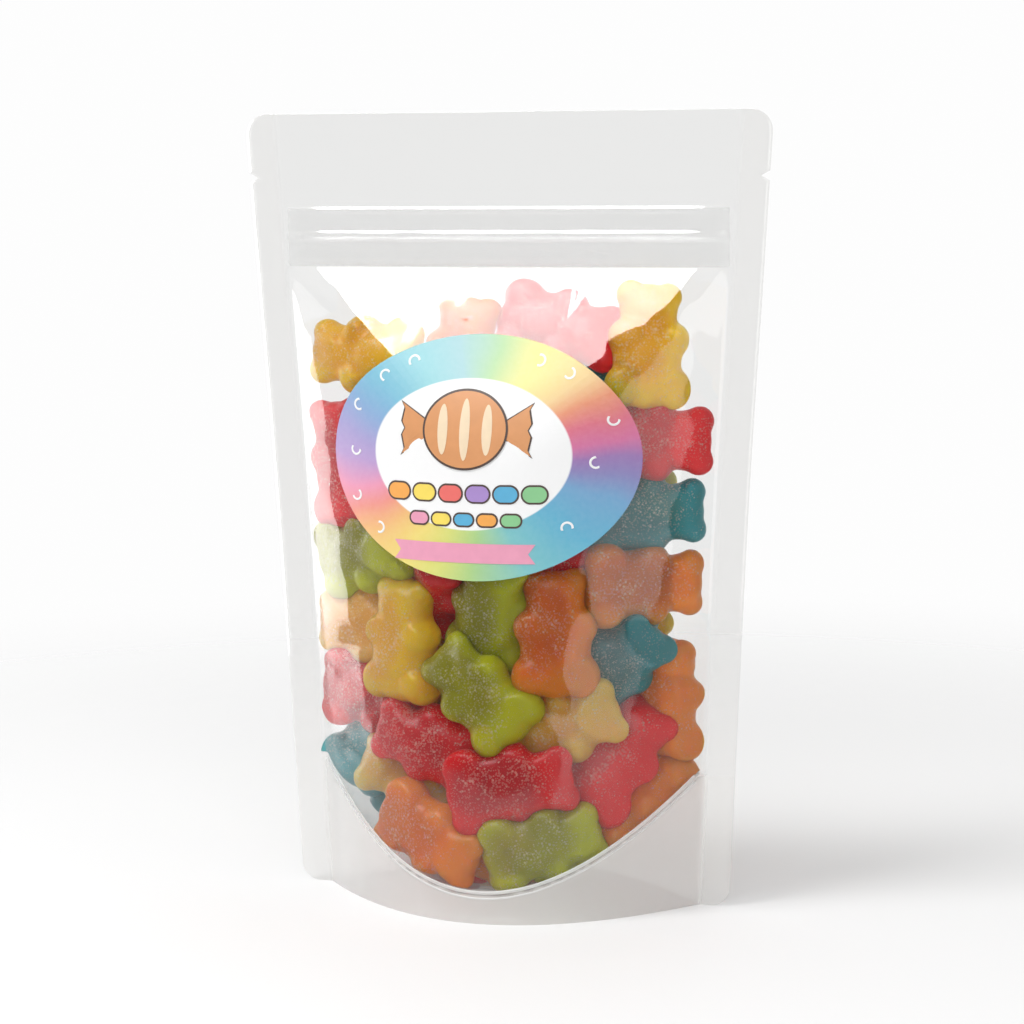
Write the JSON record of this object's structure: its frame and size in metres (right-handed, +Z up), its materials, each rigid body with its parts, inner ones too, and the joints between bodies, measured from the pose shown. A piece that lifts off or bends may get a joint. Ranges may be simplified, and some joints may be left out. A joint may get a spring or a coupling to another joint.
{
  "type": "stand-up pouch of gummy bears",
  "caption": "Clear stand-up zip pouch filled with assorted translucent gummy bears, with an oval label without lettering on its front.",
  "frame": {"origin": "on the surface it stands on, midway between the side seals and between front and back", "axes": "+Z up towards the header, -Y out of the front that carries the label, +X towards the right-hand side seal seen from the front"},
  "size_m": [0.0994, 0.0446, 0.146],
  "materials": {
    "film": "clear, glossy, a little hazy",
    "zip_plastic": "translucent, ribbed",
    "label_paper": "satin, printed in soft bands of colour",
    "gummy_red": "translucent, finely dusted",
    "gummy_orange": "translucent, finely dusted",
    "gummy_amber": "translucent, finely dusted",
    "gummy_yellow": "translucent, finely dusted",
    "gummy_green": "translucent, finely dusted",
    "gummy_teal": "translucent, finely dusted"
  },
  "bodies": {
    "root": {"pouch": "film", "zip": "zip_plastic", "label": "label_paper"}
  },
  "joints": []
}
